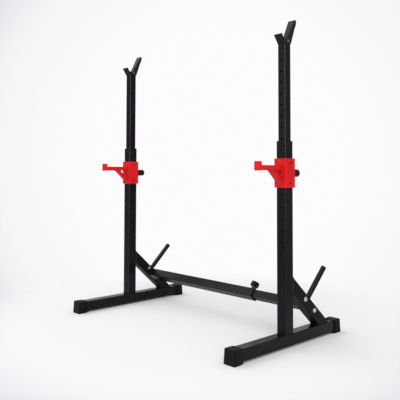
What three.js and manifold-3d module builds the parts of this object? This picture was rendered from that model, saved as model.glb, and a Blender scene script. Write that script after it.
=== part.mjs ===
// A pair of squat stands joined by a telescopic crossbar.
// Each stand has a foot beam, a hollow upright, a brace and a storage peg. A post with a bar saddle
// slides in the upright, and a red safety spotter slides on it. Pull pins lock them in their holes.
// Millimetres, +Z up, the arms point towards -Y. The origin is on the floor, midway between the stands
// and midway along the feet.
import * as THREE from "three";
import { mergeVertices } from "three/addons/utils/BufferGeometryUtils.js";
import Module from "manifold-3d";

const wasm = await Module();
wasm.setup();

// Fits and overruns
const seatGap = 0.3; // between faces that rest on or are welded to each other
const slideGap = 0.3; // each side of a plastic guide
const holeClearance = 0.5; // each side of a pin or bolt
const overrun = 10; // how far a cutter passes the face that it cuts
const weld = 0.001; // vertices closer than this are one

// Layout
const standSpacing = 1136; // between the upright centres
const footSpan = 740; // over the rubber feet
const uprightForward = 15; // upright centre ahead of the middle of the feet
const holePitch = 50;
const holeRadius = 4.5;

// Foot beam, upright and brace
const frameTube = 51;
const frameWall = 2;
const frameCorner = 3;
const uprightTop = 894;
const topHoleInset = 38;
const uprightHoles = 10;
const braceAngle = THREE.MathUtils.degToRad(42);
const braceTopAtUpright = 302;

// Rubber feet
const footSole = 8;
const footLength = 54;
const footTopWidth = 57;
const footBottomWidth = 61;
const footTopWall = 3.4;
const footEndWall = 5;

// Guide collar in the top of the upright
const collarFlange = 3;
const collarSkirt = 24;

// Storage peg
const pegSetback = 158; // from the upright centre to the peg's axis on the brace's top face
const pegAngle = THREE.MathUtils.degToRad(44);
const pegLength = 183;
const pegRadius = 12.5;
const pegWall = 2;
const pegCapThickness = 5;
const pegCapPlug = 16;

// Post, its plug and its glide
const postTube = 40;
const postWall = 2;
const postCorner = 3;
const postBottom = 380;
const postTop = 1327;
const postHolesAboveTopHole = 8;
const postHoles = 18;
const plugDepth = 30;
const tongueWidth = 12;
const tongueDepth = 24;
const tongueHeight = 18;
const tongueSetback = 4; // its middle behind the post's axis
const glideFlange = 6;
const glidePlug = 20;

// Bar saddle: distances from the post's axis, heights above the post
const saddleWidth = 40;
const saddleBaseHalf = 22;
const saddleShoulder = 5;
const cradleRadius = 22.5;
const cradleForward = 13.5;
const cradleHeight = 42;
const cradleSteps = 6;
const cradleFrontEnd = THREE.MathUtils.degToRad(10); // below the cradle's centre line
const rearProngLean = THREE.MathUtils.degToRad(29.5);
const rearTipHeight = 117;
const rearTipThickness = 9;
const lipLength = 25;
const lipLean = THREE.MathUtils.degToRad(10);
const lipProud = 4;
const frontTipOuter = 48.5;
const frontTipOuterHeight = 39;
const frontTipInner = 38;
const frontTipInnerHeight = 41;
const saddleBoltHeight = 13;
const saddleBoltSetback = 3;
const saddleBoltRadius = 2.5;
const saddleHeadRadius = 4.8;
const saddleHeadThickness = 3.2;
const saddleNutThickness = 4.5;

// Spotter
const spotterHole = 2; // counted down from the upright's top hole
const sleeveWidth = 66;
const sleeveWall = 3;
const sleeveCorner = 3.5;
const sleeveHeight = 128;
const nubRadius = 5;
const nubOffset = 44.5;
const nubProud = 0.4;
const armWidth = 30;
const armHeight = 22;
const armWall = 2;
const armCorner = 2.5;
const armLength = 138;
const armAboveCentre = 12; // from the sleeve's middle to the arm's underside
const stopWidth = 31;
const stopThickness = 15;
const stopHeight = 40;
const stopBelowArm = 1.5;
const stopCorner = 3;
const strutReach = 69.5; // from the sleeve's face to the strut's toe under the arm
const strutDrop = 62; // from the arm's underside to the strut's heel on the sleeve
const strutThickness = 14;

// Pull pins
const pinRadius = 4;
const pinClearOfSlide = 0.6; // nose to the tube that it locks, at rest
const spotterBossRadius = 10;
const spotterBossLength = 19;
const spotterPinTravel = 12;
const spotterKnobRadius = 17.5;
const spotterKnobLength = 42;
const spotterKnobDome = 9;
const crossbarBossRadius = 9.5;
const crossbarBossLength = 20;
const crossbarPinTravel = 8;
const crossbarKnobRadius = 21;
const crossbarKnobLength = 23;
const crossbarKnobDome = 2.5;
const knobFloor = 7; // plastic left behind the pin's end
const knobRim = 3;

// Crossbar and its plates
const crossbarSetback = 149; // from the upright centre to the crossbar's axis
const outerTube = 45;
const outerWall = 1.5;
const outerCorner = 3;
const innerTube = 38;
const innerWall = 2;
const innerCorner = 2.5;
const outerTubeEnd = 262; // from the middle of the stand
const crossbarPinInset = 30;
const innerTubeLength = 535;
const holesTowardsMiddle = 3;
const holesTowardsStand = 4;
const bushFlange = 4;
const bushProud = 1.5; // of the outer tube, all round
const bushSkirt = 22;
const plateThickness = 5;
const plateLength = 130;
const plateWidth = 44;
const plateCorner = 8;

// Bolts through the brace and the plate
const boltSpacing = 90;
const boltShift = 6.5; // the pair's middle above the crossbar's axis, along the brace
const boltRise = 3.5; // towards the brace's top face
const boltRadius = 5;
const boltHeadRadius = 9.5;
const boltHeadThickness = 6;
const nutRadius = 9.6;
const nutThickness = 9;
const boltTail = 3;

// Facets
const cornerSteps = 2;
const holeSides = 8;
const shaftSides = 12;
const roundSides = 20;
const domeSteps = 3;
const hexSides = 6;

// Values that follow
const halfSpacing = standSpacing / 2;
const halfFrame = frameTube / 2;
const topHoleHeight = uprightTop - topHoleInset;
const baseBottom = footSole + seatGap;
const baseTop = baseBottom + frameTube;
const footFront = -footSpan / 2 + uprightForward;
const footRear = footSpan / 2 + uprightForward;
const sleeveCentre = topHoleHeight - spotterHole * holePitch;
const sleeveHalf = sleeveWidth / 2;
const trimBlock = footSpan;
const crossbarHeight = braceAxisHeight(crossbarSetback);
const crossbarPin = outerTubeEnd - crossbarPinInset;
const plateFace = halfSpacing - halfFrame - seatGap - plateThickness;

// Materials
const blackCoat = new THREE.MeshStandardMaterial({ color: 0x222327, roughness: 0.42, metalness: 0.1 });
const redCoat = new THREE.MeshStandardMaterial({ color: 0xd9232b, roughness: 0.4, metalness: 0.05 });
const rubber = new THREE.MeshStandardMaterial({ color: 0x1c1c1e, roughness: 0.8, metalness: 0 });
const plastic = new THREE.MeshStandardMaterial({ color: 0x18191b, roughness: 0.5, metalness: 0 });
const zinc = new THREE.MeshStandardMaterial({ color: 0xc9cbce, roughness: 0.3, metalness: 0.9 });

// Height of the brace's centreline at a distance behind the upright's centre
function braceAxisHeight(distance) {
  const drop = Math.tan(braceAngle) * (distance - halfFrame);
  return braceTopAtUpright - drop - halfFrame / Math.cos(braceAngle);
}

// Solids and cuts

function toSolid(geometry) {
  const bare = geometry.clone();
  bare.deleteAttribute("normal");
  bare.deleteAttribute("uv");
  const merged = mergeVertices(bare, weld);
  const mesh = new wasm.Mesh({
    numProp: 3,
    vertProperties: new Float32Array(merged.attributes.position.array),
    triVerts: new Uint32Array(merged.index.array),
  });
  return new wasm.Manifold(mesh);
}

function toGeometry(solid) {
  const mesh = solid.getMesh();
  const geometry = new THREE.BufferGeometry();
  geometry.setAttribute("position", new THREE.BufferAttribute(new Float32Array(mesh.vertProperties), 3));
  geometry.setIndex(new THREE.BufferAttribute(new Uint32Array(mesh.triVerts), 1));
  geometry.computeVertexNormals();
  return geometry;
}

function cut(geometry, ...cutters) {
  let solid = toSolid(geometry);
  for (const cutter of cutters) solid = solid.subtract(toSolid(cutter));
  return toGeometry(solid);
}

function join(geometry, ...others) {
  let solid = toSolid(geometry);
  for (const other of others) solid = solid.add(toSolid(other));
  return toGeometry(solid);
}

// Outlines and sections

function roundedRectangle(width, height, radius) {
  const points = [];
  for (let corner = 0; corner < 4; corner += 1) {
    const sideX = corner === 0 || corner === 3 ? 1 : -1;
    const sideY = corner < 2 ? 1 : -1;
    for (let step = 0; step <= cornerSteps; step += 1) {
      const angle = (Math.PI / 2) * (corner + step / cornerSteps);
      const x = sideX * (width / 2 - radius) + radius * Math.cos(angle);
      const y = sideY * (height / 2 - radius) + radius * Math.sin(angle);
      points.push(new THREE.Vector2(x, y));
    }
  }
  return points;
}

// A straight bar of a section in X and Y, from z = 0 to its length
function bar(points, length, hole = null) {
  const shape = new THREE.Shape(points);
  if (hole) shape.holes.push(new THREE.Path(hole));
  return new THREE.ExtrudeGeometry(shape, { depth: length, bevelEnabled: false, steps: 1 });
}

function rectangularTube(width, height, wall, corner, length) {
  const outside = roundedRectangle(width, height, corner);
  const insideCorner = Math.max(corner - wall, wall / 2);
  const inside = roundedRectangle(width - 2 * wall, height - 2 * wall, insideCorner);
  return bar(outside, length, inside);
}

function squareTube(width, wall, corner, length) {
  return rectangularTube(width, width, wall, corner, length);
}

// A block of a Y-Z outline, centred on x = 0
function sideBlock(points, width) {
  const turn = new THREE.Matrix4().makeBasis(
    new THREE.Vector3(0, 1, 0),
    new THREE.Vector3(0, 0, 1),
    new THREE.Vector3(1, 0, 0),
  );
  return bar(points, width).applyMatrix4(turn).translate(-width / 2, 0, 0);
}

function block(width, depth, height) {
  return new THREE.BoxGeometry(width, depth, height);
}

function rodAlongX(radius, length, sides) {
  return new THREE.CylinderGeometry(radius, radius, length, sides).rotateZ(Math.PI / 2);
}

function rodAlongY(radius, length, sides) {
  return new THREE.CylinderGeometry(radius, radius, length, sides);
}

function rodAlongZ(radius, length, sides) {
  return new THREE.CylinderGeometry(radius, radius, length, sides).rotateX(Math.PI / 2);
}

// Quarter ellipse from the rim to the axis, rising by its height
function domeProfile(radius, base, height) {
  const points = [];
  for (let step = 0; step <= domeSteps; step += 1) {
    const angle = (Math.PI / 2) * (step / domeSteps);
    const reach = step === domeSteps ? 0 : radius * Math.cos(angle);
    points.push(new THREE.Vector2(reach, base + height * Math.sin(angle)));
  }
  return points;
}

// A domed disc that stands on y = 0 and rises along +Y
function domedDisc(radius, thickness, edge) {
  const profile = [new THREE.Vector2(0, 0), new THREE.Vector2(radius, 0)];
  profile.push(...domeProfile(radius, edge, thickness - edge));
  return new THREE.LatheGeometry(profile, roundSides);
}

function piece(name, geometry, material) {
  const mesh = new THREE.Mesh(geometry, material);
  mesh.name = name;
  return mesh;
}

function holeCutters(half, topHeight, count) {
  const cutters = [];
  for (let index = 0; index < count; index += 1) {
    const rod = rodAlongY(holeRadius, 2 * (half + overrun), holeSides);
    cutters.push(rod.translate(0, 0, topHeight - index * holePitch));
  }
  return cutters;
}

// Stand

function baseTube() {
  const length = footSpan - 2 * (footEndWall + seatGap);
  return squareTube(frameTube, frameWall, frameCorner, length)
    .rotateX(Math.PI / 2)
    .translate(0, uprightForward + length / 2, baseBottom + halfFrame);
}

// A rubber cap over one end of the foot beam; end is -1 at the front and 1 at the rear
function footCap(end) {
  const height = baseTop + footTopWall;
  const outline = [
    new THREE.Vector2(-footBottomWidth / 2, 0),
    new THREE.Vector2(footBottomWidth / 2, 0),
    new THREE.Vector2(footTopWidth / 2, height),
    new THREE.Vector2(-footTopWidth / 2, height),
  ];
  const pocketSize = frameTube + 2 * slideGap;
  const shell = bar(outline, footLength).rotateX(Math.PI / 2).translate(0, footLength / 2, 0);
  const pocket = block(pocketSize, footLength, pocketSize);
  pocket.translate(0, -end * footEndWall, baseBottom + halfFrame);
  const middle = end < 0 ? footFront + footLength / 2 : footRear - footLength / 2;
  return cut(shell, pocket).translate(0, middle, 0);
}

function uprightTube() {
  const foot = baseTop + seatGap;
  const tube = squareTube(frameTube, frameWall, frameCorner, uprightTop - foot).translate(0, 0, foot);
  return cut(tube, ...holeCutters(halfFrame, topHoleHeight, uprightHoles));
}

function uprightCollar() {
  const inside = postTube + 2 * slideGap;
  const skirtWidth = frameTube - 2 * (frameWall + slideGap);
  const flange = squareTube(frameTube, (frameTube - inside) / 2, frameCorner, collarFlange);
  flange.translate(0, 0, uprightTop + seatGap);
  const skirt = squareTube(skirtWidth, (skirtWidth - inside) / 2, postCorner, collarSkirt + collarFlange);
  skirt.translate(0, 0, uprightTop + seatGap - collarSkirt);
  return join(flange, skirt);
}

// Distances of the bolts down the brace from the crossbar's axis
const boltStations = [-boltSpacing / 2 - boltShift, boltSpacing / 2 - boltShift];

// Bolt centres behind the upright and above the floor
function boltPlaces() {
  const places = [];
  for (const along of boltStations) {
    const y = along * Math.cos(braceAngle) + boltRise * Math.sin(braceAngle);
    const z = boltRise * Math.cos(braceAngle) - along * Math.sin(braceAngle);
    places.push([crossbarSetback + y, crossbarHeight + z]);
  }
  return places;
}

function braceTube() {
  const length = trimBlock;
  const ahead = block(trimBlock, trimBlock, 2 * trimBlock);
  ahead.translate(0, halfFrame + seatGap - trimBlock / 2, 0);
  const below = block(trimBlock, 2 * trimBlock, trimBlock);
  below.translate(0, 0, baseTop + seatGap - trimBlock / 2);
  const holes = [];
  for (const [y, z] of boltPlaces()) {
    const rod = rodAlongX(boltRadius + holeClearance, frameTube + 2 * overrun, shaftSides);
    holes.push(rod.translate(0, y, z));
  }
  const tube = squareTube(frameTube, frameWall, frameCorner, length)
    .translate(0, 0, -length / 2)
    .rotateX(-Math.PI / 2 - braceAngle)
    .translate(0, crossbarSetback, crossbarHeight);
  return cut(tube, ahead, below, ...holes);
}

// The peg leaves the brace's top face upwards and to the rear
function pegFrame(geometry) {
  const rise = halfFrame / Math.cos(braceAngle);
  return geometry.rotateX(pegAngle - Math.PI / 2).translate(0, pegSetback, braceAxisHeight(pegSetback) + rise);
}

function storagePeg() {
  const stock = pegLength + 2 * pegRadius;
  const bore = rodAlongZ(pegRadius - pegWall, stock + overrun, roundSides);
  const tube = cut(rodAlongZ(pegRadius, stock, roundSides), bore).translate(0, 0, pegLength - stock / 2);
  const face = block(trimBlock, trimBlock, trimBlock)
    .translate(0, 0, seatGap - trimBlock / 2)
    .rotateX(-braceAngle)
    .translate(0, pegSetback, braceAxisHeight(pegSetback) + halfFrame / Math.cos(braceAngle));
  return cut(pegFrame(tube), face);
}

function pegCap() {
  const head = domedDisc(pegRadius, pegCapThickness, pegCapThickness / 2).rotateX(Math.PI / 2);
  const plug = rodAlongZ(pegRadius - pegWall - slideGap, pegCapPlug + pegCapThickness / 2, roundSides);
  plug.translate(0, 0, pegCapThickness / 4 - pegCapPlug / 2);
  return pegFrame(join(head, plug).translate(0, 0, pegLength + seatGap));
}

// Domed bolt along X with its head towards +X; the shank ends at the given distance
function domedBolt(headRadius, headThickness, shankRadius, seat, tail) {
  const head = domedDisc(headRadius, headThickness, headThickness / 4).rotateZ(-Math.PI / 2);
  head.translate(seat, 0, 0);
  const start = -tail;
  const end = seat + headThickness / 4;
  const shank = rodAlongX(shankRadius, end - start, shaftSides).translate((start + end) / 2, 0, 0);
  return join(head, shank);
}

function hexNut(radius, thickness, boreRadius, seat) {
  const body = rodAlongX(radius, thickness, hexSides);
  const bore = rodAlongX(boreRadius, thickness + overrun, shaftSides);
  return cut(body, bore).translate(-seat - thickness / 2, 0, 0);
}

// side is -1 for the left stand and 1 for the right; bolt heads face outwards
function stand(side, word) {
  const group = new THREE.Group();
  group.position.set(side * halfSpacing, -uprightForward, 0);
  group.add(piece(`${word}_base_tube`, baseTube(), blackCoat));
  group.add(piece(`${word}_front_foot`, footCap(-1), rubber));
  group.add(piece(`${word}_rear_foot`, footCap(1), rubber));
  group.add(piece(`${word}_upright_tube`, uprightTube(), blackCoat));
  group.add(piece(`${word}_upright_collar`, uprightCollar(), plastic));
  group.add(piece(`${word}_brace_tube`, braceTube(), blackCoat));
  group.add(piece(`${word}_storage_peg`, storagePeg(), blackCoat));
  group.add(piece(`${word}_peg_cap`, pegCap(), plastic));

  const seat = halfFrame + seatGap;
  const nutSeat = seat + plateThickness + seatGap;
  const tail = nutSeat + nutThickness + boltTail;
  const levels = ["upper", "lower"];
  boltPlaces().forEach(([y, z], index) => {
    const bolt = domedBolt(boltHeadRadius, boltHeadThickness, boltRadius, seat, tail);
    const nut = hexNut(nutRadius, nutThickness, boltRadius + seatGap, nutSeat);
    const fastener = new THREE.Group();
    fastener.add(piece(`${word}_${levels[index]}_bolt`, bolt, zinc));
    fastener.add(piece(`${word}_${levels[index]}_nut`, nut, zinc));
    fastener.position.set(0, y, z);
    fastener.rotation.z = side > 0 ? 0 : Math.PI;
    group.add(fastener);
  });
  return group;
}

// Post and saddle

function postTubeWithHoles() {
  const tube = squareTube(postTube, postWall, postCorner, postTop - postBottom).translate(0, 0, postBottom);
  const topHole = topHoleHeight + postHolesAboveTopHole * holePitch;
  return cut(tube, ...holeCutters(postTube / 2, topHole, postHoles));
}

function saddleBoltHole(width) {
  const rod = rodAlongX(saddleBoltRadius + holeClearance, width + 2 * overrun, shaftSides);
  return rod.translate(0, saddleBoltSetback, postTop + saddleBoltHeight);
}

// Points on the cradle's arc, from the rear prong down and up to the front prong
function cradlePoints() {
  const points = [];
  const end = cradleFrontEnd - Math.PI;
  for (let step = 0; step <= cradleSteps; step += 1) {
    const angle = -rearProngLean + ((end + rearProngLean) * step) / cradleSteps;
    const y = cradleRadius * Math.cos(angle) - cradleForward;
    points.push(new THREE.Vector2(y, cradleHeight + cradleRadius * Math.sin(angle)));
  }
  return points;
}

// The saddle is a forked block: a tall prong behind the bar and a short one in front of it
function saddle() {
  const cradle = cradlePoints();
  const rise = rearTipHeight - cradle[0].y;
  const rearTip = new THREE.Vector2(cradle[0].x + rise * Math.tan(rearProngLean), rearTipHeight);
  const across = new THREE.Vector2(Math.cos(rearProngLean), -Math.sin(rearProngLean));
  const rearTipBack = rearTip.clone().addScaledVector(across, rearTipThickness);
  const lipAlong = new THREE.Vector2(-Math.sin(lipLean), -Math.cos(lipLean));
  const lipFoot = rearTipBack.clone().addScaledVector(lipAlong, lipLength);
  const lipRoot = lipFoot.clone().add(new THREE.Vector2(-lipProud, -lipProud));
  const outline = [
    new THREE.Vector2(-saddleBaseHalf, seatGap),
    new THREE.Vector2(saddleBaseHalf, seatGap),
    new THREE.Vector2(saddleBaseHalf + saddleShoulder / 2, saddleShoulder),
    lipRoot,
    lipFoot,
    rearTipBack,
    rearTip,
    ...cradle,
    new THREE.Vector2(-frontTipInner, frontTipInnerHeight),
    new THREE.Vector2(-frontTipOuter, frontTipOuterHeight),
    new THREE.Vector2(-saddleBaseHalf - saddleShoulder / 2, saddleShoulder),
  ];
  const body = sideBlock(outline, saddleWidth).translate(0, 0, postTop);
  const slotHeight = tongueHeight + seatGap;
  const slot = block(tongueWidth + 2 * seatGap, tongueDepth + 2 * seatGap, slotHeight + overrun);
  slot.translate(0, tongueSetback, postTop + slotHeight / 2 - overrun / 2);
  return cut(body, slot, saddleBoltHole(saddleWidth));
}

// The plug fills the post's mouth and carries the tongue that the saddle's bolt passes through
function postPlug() {
  const width = postTube - 2 * (postWall + seatGap);
  const plug = bar(roundedRectangle(width, width, postWall), plugDepth).translate(0, 0, postTop - plugDepth);
  const tongue = block(tongueWidth, tongueDepth, tongueHeight + plugDepth);
  tongue.translate(0, tongueSetback, postTop + (tongueHeight - plugDepth) / 2);
  return cut(join(plug, tongue), saddleBoltHole(tongueWidth));
}

function postGlide() {
  const inside = postTube - 2 * (postWall + slideGap);
  const outside = frameTube - 2 * (frameWall + slideGap);
  const flange = bar(roundedRectangle(outside, outside, postWall), glideFlange);
  flange.translate(0, 0, postBottom - seatGap - glideFlange);
  const plug = bar(roundedRectangle(inside, inside, postWall), glidePlug + glideFlange);
  plug.translate(0, 0, postBottom - seatGap - glideFlange);
  return join(flange, plug);
}

function post(side, word) {
  const group = new THREE.Group();
  group.position.set(side * halfSpacing, -uprightForward, 0);
  group.add(piece(`${word}_post_tube`, postTubeWithHoles(), blackCoat));
  group.add(piece(`${word}_post_plug`, postPlug(), blackCoat));
  group.add(piece(`${word}_post_glide`, postGlide(), plastic));
  group.add(piece(`${word}_saddle`, saddle(), blackCoat));

  const seat = saddleWidth / 2 + seatGap;
  const tail = seat + saddleNutThickness + boltTail / 2;
  const bolt = domedBolt(saddleHeadRadius, saddleHeadThickness, saddleBoltRadius, seat, tail);
  const nut = hexNut(saddleHeadRadius, saddleNutThickness, saddleBoltRadius + seatGap, seat);
  const fastener = new THREE.Group();
  fastener.add(piece(`${word}_saddle_bolt`, bolt, zinc));
  fastener.add(piece(`${word}_saddle_nut`, nut, zinc));
  fastener.position.set(0, saddleBoltSetback, postTop + saddleBoltHeight);
  fastener.rotation.z = side > 0 ? 0 : Math.PI;
  group.add(fastener);
  return group;
}

// Spotter, modelled round the middle of its sleeve

function pinHole(length) {
  return rodAlongY(pinRadius + holeClearance, length + 2 * overrun, shaftSides);
}

function sleeve() {
  const tube = squareTube(sleeveWidth, sleeveWall, sleeveCorner, sleeveHeight).translate(0, 0, -sleeveHeight / 2);
  const cutters = [pinHole(sleeveWidth)];
  for (const level of [-nubOffset, nubOffset]) {
    const rod = rodAlongX(nubRadius + slideGap, sleeveWidth + 2 * overrun, shaftSides);
    cutters.push(rod.translate(0, 0, level));
  }
  return cut(tube, ...cutters);
}

// Plastic liner with round nubs that snap into the sleeve's side holes
function liner() {
  const outside = sleeveWidth - 2 * (sleeveWall + slideGap);
  const inside = frameTube + 2 * slideGap;
  const wall = (outside - inside) / 2;
  const tube = squareTube(outside, wall, frameCorner, sleeveHeight).translate(0, 0, -sleeveHeight / 2);
  const nubs = [];
  const nubStart = outside / 2 - wall / 2;
  const nubEnd = sleeveHalf + nubProud;
  for (const level of [-nubOffset, nubOffset]) {
    for (const way of [-1, 1]) {
      const nub = rodAlongX(nubRadius, nubEnd - nubStart, shaftSides);
      nubs.push(nub.translate((way * (nubStart + nubEnd)) / 2, 0, level));
    }
  }
  return cut(join(tube, ...nubs), pinHole(outside));
}

function spotterArm() {
  return rectangularTube(armWidth, armHeight, armWall, armCorner, armLength - 2 * seatGap)
    .rotateX(Math.PI / 2)
    .translate(0, -sleeveHalf - seatGap, armAboveCentre + armHeight / 2);
}

function endStop() {
  return bar(roundedRectangle(stopWidth, stopHeight, stopCorner), stopThickness)
    .rotateX(Math.PI / 2)
    .translate(0, -sleeveHalf - armLength, armAboveCentre - stopBelowArm + stopHeight / 2);
}

function spotterStrut() {
  const angle = Math.atan2(strutDrop, strutReach);
  const length = Math.hypot(strutDrop, strutReach) + 2 * strutThickness;
  const middleY = -sleeveHalf - strutReach / 2 + (strutThickness / 2) * Math.sin(angle);
  const middleZ = armAboveCentre - strutDrop / 2 + (strutThickness / 2) * Math.cos(angle);
  const tube = rectangularTube(armWidth, strutThickness, armWall, armCorner, length)
    .translate(0, 0, -length / 2)
    .rotateX(Math.PI / 2 - angle)
    .translate(0, middleY, middleZ);
  const behind = block(trimBlock, trimBlock, trimBlock).translate(0, trimBlock / 2 - sleeveHalf - seatGap, 0);
  const above = block(trimBlock, trimBlock, trimBlock).translate(0, 0, trimBlock / 2 + armAboveCentre - seatGap);
  return cut(tube, behind, above);
}

function spotter(side, word) {
  const group = new THREE.Group();
  group.position.set(side * halfSpacing, -uprightForward, sleeveCentre);
  group.add(piece(`${word}_spotter_sleeve`, sleeve(), redCoat));
  group.add(piece(`${word}_spotter_liner`, liner(), plastic));
  group.add(piece(`${word}_spotter_arm`, spotterArm(), redCoat));
  group.add(piece(`${word}_spotter_strut`, spotterStrut(), redCoat));
  group.add(piece(`${word}_spotter_end_stop`, endStop(), redCoat));
  const boss = pinBoss(spotterBossRadius, spotterBossLength);
  boss.translate(0, sleeveHalf + seatGap, 0);
  group.add(piece(`${word}_pin_boss`, boss, redCoat));
  return group;
}

// Pull pins, modelled along +Y from the boss's foot

function pinBoss(radius, length) {
  const bore = pinHole(length).translate(0, length / 2, 0);
  return cut(rodAlongY(radius, length, roundSides).translate(0, length / 2, 0), bore);
}

// The knob's socket swallows the boss as the pin is pushed home
function pinKnob(radius, length, dome, bossRadius, travel) {
  const profile = [
    new THREE.Vector2(0, 0),
    new THREE.Vector2(radius - knobRim, 0),
    new THREE.Vector2(radius, knobRim),
    ...domeProfile(radius, length - dome, dome),
  ];
  const body = new THREE.LatheGeometry(profile, roundSides);
  const socketDepth = travel + 2 * seatGap;
  const socket = rodAlongY(bossRadius + holeClearance, socketDepth + overrun, roundSides);
  socket.translate(0, (socketDepth - overrun) / 2, 0);
  const boreLength = length - knobFloor;
  const bore = rodAlongY(pinRadius + seatGap, boreLength + overrun, shaftSides);
  bore.translate(0, (boreLength - overrun) / 2, 0);
  return cut(body, socket, bore);
}

// The pin runs from its nose to the bottom of the knob's bore
function pullPin(noseAt, knobAt, knobLength) {
  const end = knobAt + knobLength - knobFloor - seatGap;
  return rodAlongY(pinRadius, end - noseAt, shaftSides).translate(0, (end + noseAt) / 2, 0);
}

function spotterPin(side, word) {
  const bossFoot = sleeveHalf + seatGap;
  const knobAt = bossFoot + spotterBossLength + seatGap;
  const noseAt = halfFrame + pinClearOfSlide;
  const size = [spotterKnobRadius, spotterKnobLength, spotterKnobDome];
  const knob = pinKnob(...size, spotterBossRadius, spotterPinTravel);
  const group = new THREE.Group();
  group.position.set(side * halfSpacing, -uprightForward, sleeveCentre);
  group.add(piece(`${word}_pin_knob`, knob.translate(0, knobAt, 0), plastic));
  group.add(piece(`${word}_lock_pin`, pullPin(noseAt, knobAt, spotterKnobLength), zinc));
  return group;
}

// Crossbar, in a frame whose X runs along the bar, Y down the brace and Z out of the brace's top face

function alongBar(geometry, start) {
  return geometry.rotateY(Math.PI / 2).translate(start, 0, 0);
}

function crossbarOuter() {
  const start = -plateFace + seatGap;
  const tube = alongBar(squareTube(outerTube, outerWall, outerCorner, outerTubeEnd - start), start);
  const hole = rodAlongZ(pinRadius + holeClearance, outerTube / 2 + overrun, shaftSides);
  return cut(tube, hole.translate(crossbarPin, 0, (outerTube / 2 + overrun) / 2));
}

function crossbarInner() {
  const end = plateFace - seatGap;
  const tube = alongBar(squareTube(innerTube, innerWall, innerCorner, innerTubeLength), end - innerTubeLength);
  const holes = [];
  for (let index = -holesTowardsMiddle; index <= holesTowardsStand; index += 1) {
    const rod = rodAlongZ(holeRadius, innerTube + 2 * overrun, holeSides);
    holes.push(rod.translate(crossbarPin + index * holePitch, 0, 0));
  }
  return cut(tube, ...holes);
}

function crossbarBush() {
  const inside = innerTube + 2 * slideGap;
  const skirtWidth = outerTube - 2 * (outerWall + slideGap);
  const flangeWidth = outerTube + 2 * bushProud;
  const flangeCorner = outerCorner + bushProud;
  const flange = squareTube(flangeWidth, (flangeWidth - inside) / 2, flangeCorner, bushFlange);
  alongBar(flange, outerTubeEnd + seatGap);
  const skirt = squareTube(skirtWidth, (skirtWidth - inside) / 2, innerCorner, bushSkirt + bushFlange);
  alongBar(skirt, outerTubeEnd + seatGap - bushSkirt);
  return join(flange, skirt);
}

function crossbarPlate(side) {
  const plate = alongBar(bar(roundedRectangle(plateWidth, plateLength, plateCorner), plateThickness), 0);
  const holes = [];
  for (const along of boltStations) {
    const rod = rodAlongX(boltRadius + holeClearance, plateThickness + 2 * overrun, shaftSides);
    holes.push(rod.translate(0, along, boltRise));
  }
  const start = side > 0 ? plateFace : -plateFace - plateThickness;
  return cut(plate, ...holes).translate(start, 0, 0);
}

function crossbar() {
  const group = new THREE.Group();
  group.position.set(0, crossbarSetback - uprightForward, crossbarHeight);
  group.rotation.x = -braceAngle;
  group.add(piece("left_crossbar_plate", crossbarPlate(-1), blackCoat));
  group.add(piece("right_crossbar_plate", crossbarPlate(1), blackCoat));
  group.add(piece("crossbar_outer_tube", crossbarOuter(), blackCoat));
  group.add(piece("crossbar_inner_tube", crossbarInner(), blackCoat));
  group.add(piece("crossbar_bush", crossbarBush(), plastic));

  const bossFoot = outerTube / 2 + seatGap;
  const knobAt = bossFoot + crossbarBossLength + seatGap;
  const noseAt = innerTube / 2 + pinClearOfSlide;
  const boss = pinBoss(crossbarBossRadius, crossbarBossLength).translate(0, bossFoot, 0);
  const size = [crossbarKnobRadius, crossbarKnobLength, crossbarKnobDome];
  const knob = pinKnob(...size, crossbarBossRadius, crossbarPinTravel);
  const lock = new THREE.Group();
  lock.add(piece("crossbar_pin_boss", boss, blackCoat));
  lock.add(piece("crossbar_pin_knob", knob.translate(0, knobAt, 0), plastic));
  lock.add(piece("crossbar_lock_pin", pullPin(noseAt, knobAt, crossbarKnobLength), zinc));
  lock.position.set(crossbarPin, 0, 0);
  lock.rotation.x = Math.PI / 2;
  group.add(lock);
  return group;
}

const squatStand = new THREE.Group();
for (const [side, word] of [[-1, "left"], [1, "right"]]) {
  squatStand.add(stand(side, word));
  squatStand.add(post(side, word));
  squatStand.add(spotter(side, word));
  squatStand.add(spotterPin(side, word));
}
squatStand.add(crossbar());

export default squatStand;
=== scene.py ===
"""Looks for a pair of squat stands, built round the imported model.

Metres, +Z up, the spotter arms point towards -Y. Most of the model's solids are stood for by finer
pieces: tubes with rolled corners and round holes, weld beads, moulded feet and knobs.
"""

import math

import bpy
import bmesh
from mathutils import Matrix, Vector


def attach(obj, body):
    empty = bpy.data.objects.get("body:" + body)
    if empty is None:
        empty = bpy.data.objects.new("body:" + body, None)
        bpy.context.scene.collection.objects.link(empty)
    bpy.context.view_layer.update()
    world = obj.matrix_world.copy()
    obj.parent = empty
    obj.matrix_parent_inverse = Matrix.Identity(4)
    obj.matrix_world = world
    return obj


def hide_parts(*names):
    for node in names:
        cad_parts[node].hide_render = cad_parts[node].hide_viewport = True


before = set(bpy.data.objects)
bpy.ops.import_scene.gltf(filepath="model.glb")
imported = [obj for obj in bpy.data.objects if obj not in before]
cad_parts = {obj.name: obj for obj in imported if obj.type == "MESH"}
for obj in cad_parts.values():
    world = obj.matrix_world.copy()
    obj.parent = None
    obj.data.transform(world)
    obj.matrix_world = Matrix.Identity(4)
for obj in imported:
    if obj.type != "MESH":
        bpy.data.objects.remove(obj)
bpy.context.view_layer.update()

# Layout
HALF_SPACING = 0.568
FOOT_SPAN = 0.74
UPRIGHT_FORWARD = 0.015
HOLE_PITCH = 0.05
HOLE_RADIUS = 0.0045
GAP = 0.0003

# Foot beam, upright and brace
FRAME_TUBE = 0.051
FRAME_WALL = 0.002
FRAME_CORNER = 0.003
FOOT_SOLE = 0.008
UPRIGHT_TOP = 0.894
TOP_HOLE = 0.856
UPRIGHT_HOLES = 10
BRACE_ANGLE = math.radians(42)
BRACE_TOP = 0.302

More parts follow.
